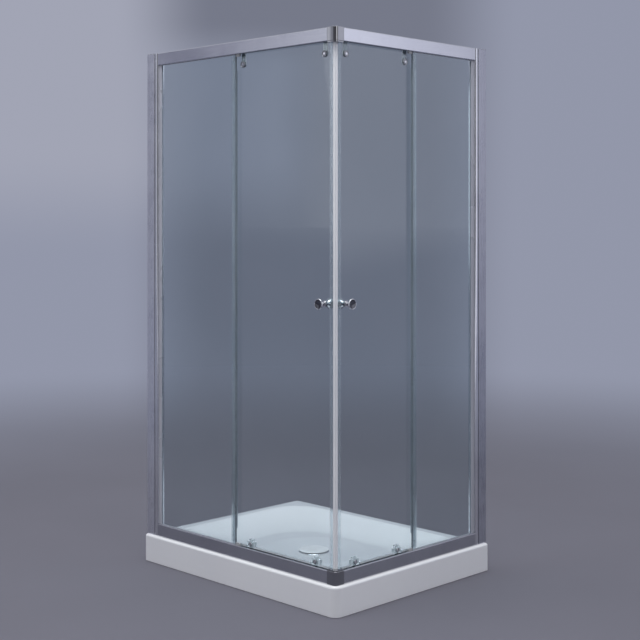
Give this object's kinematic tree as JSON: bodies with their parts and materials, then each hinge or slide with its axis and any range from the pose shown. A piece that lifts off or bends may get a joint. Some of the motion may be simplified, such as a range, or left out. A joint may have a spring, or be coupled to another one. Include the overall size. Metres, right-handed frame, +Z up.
{
  "type": "shower enclosure",
  "caption": "Rectangular corner-entry shower enclosure: low white tray, metal frame, fixed glass panes and two sliding glass doors that meet at the corner, with round knobs.",
  "frame": {"origin": "centre of the tray's footprint on the floor", "axes": "+Z up; -Y is the outward side of the long glass wall, +X the outward side of the short glass wall; the room's walls are at -X and +Y"},
  "size_m": [1, 0.8, 1.9],
  "materials": {
    "acrylic": "glossy white acrylic",
    "board": "raw chipboard",
    "dark_plastic": "fine matt",
    "waste_plastic": "fine matt",
    "steel": "zinc plated",
    "chrome": "polished",
    "satin_aluminium": "satin anodised",
    "bright_aluminium": "bright polished",
    "glass": "clear toughened",
    "clear_seal": "clear soft plastic",
    "magnet_white": "white strip",
    "grey_plastic": "fine matt",
    "nylon": "moulded nylon",
    "rubber": "soft black"
  },
  "bodies": {
    "enclosure": {"tray": "acrylic", "tray_base_board": "board", "tray_feet": "dark_plastic", "tray_foot_studs": "steel", "drain_flange": "chrome", "drain_cover": "waste_plastic", "drain_trap": "waste_plastic", "bottom_corner_connector": "chrome", "top_corner_connector": "chrome", "channel_caps": "grey_plastic", "rail_joint_blocks": "dark_plastic", "frame_screws": "steel", "slot_end_blocks": "grey_plastic", "door_stops": "rubber", "bottom_rail_long": "satin_aluminium", "top_rail_long": "satin_aluminium", "wall_channel_long": "satin_aluminium", "wall_post_long": "bright_aluminium", "fixed_glass_long": "glass", "fixed_gasket_long": "clear_seal", "fixed_edge_seal_long": "clear_seal", "bottom_rail_short": "satin_aluminium", "top_rail_short": "satin_aluminium", "wall_channel_short": "satin_aluminium", "wall_post_short": "bright_aluminium", "fixed_glass_short": "glass", "fixed_gasket_short": "clear_seal", "fixed_edge_seal_short": "clear_seal"},
    "long_door": {"long_door_glass": "glass", "long_door_magnet_seal": "magnet_white", "long_door_back_seal": "clear_seal", "long_door_drip_seal": "clear_seal", "long_door_outer_knob": "chrome", "long_door_inner_knob": "chrome", "long_door_top_arms": "steel", "long_door_top_axles": "steel", "long_door_roller_bolts": "chrome", "long_door_roller_housings": "grey_plastic"},
    "long_door_top_wheel_front": {"long_door_top_wheel_front": "nylon"},
    "long_door_top_wheel_rear": {"long_door_top_wheel_rear": "nylon"},
    "long_door_release_front": {"long_door_release_front": "grey_plastic"},
    "long_door_bottom_wheel_front": {"long_door_bottom_wheel_front": "nylon"},
    "long_door_release_rear": {"long_door_release_rear": "grey_plastic"},
    "long_door_bottom_wheel_rear": {"long_door_bottom_wheel_rear": "nylon"},
    "short_door": {"short_door_glass": "glass", "short_door_magnet_seal": "magnet_white", "short_door_back_seal": "clear_seal", "short_door_drip_seal": "clear_seal", "short_door_outer_knob": "chrome", "short_door_inner_knob": "chrome", "short_door_top_arms": "steel", "short_door_top_axles": "steel", "short_door_roller_bolts": "chrome", "short_door_roller_housings": "grey_plastic"},
    "short_door_top_wheel_front": {"short_door_top_wheel_front": "nylon"},
    "short_door_top_wheel_rear": {"short_door_top_wheel_rear": "nylon"},
    "short_door_release_front": {"short_door_release_front": "grey_plastic"},
    "short_door_bottom_wheel_front": {"short_door_bottom_wheel_front": "nylon"},
    "short_door_release_rear": {"short_door_release_rear": "grey_plastic"},
    "short_door_bottom_wheel_rear": {"short_door_bottom_wheel_rear": "nylon"}
  },
  "joints": [
    {"name": "long_door_slide", "type": "slide", "parent": "enclosure", "child": "long_door", "axis": [-1, 0, 0], "range_m": [0, 0.38]},
    {"name": "long_door_top_wheel_front_turn", "type": "hinge", "parent": "long_door", "child": "long_door_top_wheel_front", "pos_m": [0.417, -0.3542, 1.877], "axis": [0, -1, 0], "range_deg": [0, 2320]},
    {"name": "long_door_top_wheel_rear_turn", "type": "hinge", "parent": "long_door", "child": "long_door_top_wheel_rear", "pos_m": [0.017, -0.3542, 1.877], "axis": [0, -1, 0], "range_deg": [0, 2320]},
    {"name": "long_door_release_front_press", "type": "slide", "parent": "long_door", "child": "long_door_release_front", "axis": [0, 0, -1], "range_m": [0, 0.004], "stiffness_N_per_m": 600, "springref_m": -0.005},
    {"name": "long_door_bottom_wheel_front_turn", "type": "hinge", "parent": "long_door_release_front", "child": "long_door_bottom_wheel_front", "pos_m": [0.373, -0.3542, 0.122], "axis": [0, 1, 0], "range_deg": [0, 2320]},
    {"name": "long_door_release_rear_press", "type": "slide", "parent": "long_door", "child": "long_door_release_rear", "axis": [0, 0, -1], "range_m": [0, 0.004], "stiffness_N_per_m": 600, "springref_m": -0.005},
    {"name": "long_door_bottom_wheel_rear_turn", "type": "hinge", "parent": "long_door_release_rear", "child": "long_door_bottom_wheel_rear", "pos_m": [0.056, -0.3542, 0.122], "axis": [0, 1, 0], "range_deg": [0, 2320]},
    {"name": "short_door_slide", "type": "slide", "parent": "enclosure", "child": "short_door", "axis": [0, 1, 0], "range_m": [0, 0.287]},
    {"name": "short_door_top_wheel_front_turn", "type": "hinge", "parent": "short_door", "child": "short_door_top_wheel_front", "pos_m": [0.4542, -0.317, 1.877], "axis": [-1, 0, 0], "range_deg": [0, 1760]},
    {"name": "short_door_top_wheel_rear_turn", "type": "hinge", "parent": "short_door", "child": "short_door_top_wheel_rear", "pos_m": [0.4542, -0.024, 1.877], "axis": [-1, 0, 0], "range_deg": [0, 1760]},
    {"name": "short_door_release_front_press", "type": "slide", "parent": "short_door", "child": "short_door_release_front", "axis": [0, 0, -1], "range_m": [0, 0.004], "stiffness_N_per_m": 600, "springref_m": -0.005},
    {"name": "short_door_bottom_wheel_front_turn", "type": "hinge", "parent": "short_door_release_front", "child": "short_door_bottom_wheel_front", "pos_m": [0.4542, -0.273, 0.122], "axis": [1, 0, 0], "range_deg": [0, 1760]},
    {"name": "short_door_release_rear_press", "type": "slide", "parent": "short_door", "child": "short_door_release_rear", "axis": [0, 0, -1], "range_m": [0, 0.004], "stiffness_N_per_m": 600, "springref_m": -0.005},
    {"name": "short_door_bottom_wheel_rear_turn", "type": "hinge", "parent": "short_door_release_rear", "child": "short_door_bottom_wheel_rear", "pos_m": [0.4542, -0.063, 0.122], "axis": [1, 0, 0], "range_deg": [0, 1760]}
  ],
  "couplings": [
    {"joint": "long_door_top_wheel_front_turn", "follows": "long_door_slide", "rad_per_m": 105.26},
    {"joint": "long_door_top_wheel_rear_turn", "follows": "long_door_slide", "rad_per_m": 105.26},
    {"joint": "long_door_bottom_wheel_front_turn", "follows": "long_door_slide", "rad_per_m": 105.26},
    {"joint": "long_door_bottom_wheel_rear_turn", "follows": "long_door_slide", "rad_per_m": 105.26},
    {"joint": "short_door_top_wheel_front_turn", "follows": "short_door_slide", "rad_per_m": 105.26},
    {"joint": "short_door_top_wheel_rear_turn", "follows": "short_door_slide", "rad_per_m": 105.26},
    {"joint": "short_door_bottom_wheel_front_turn", "follows": "short_door_slide", "rad_per_m": 105.26},
    {"joint": "short_door_bottom_wheel_rear_turn", "follows": "short_door_slide", "rad_per_m": 105.26}
  ]
}
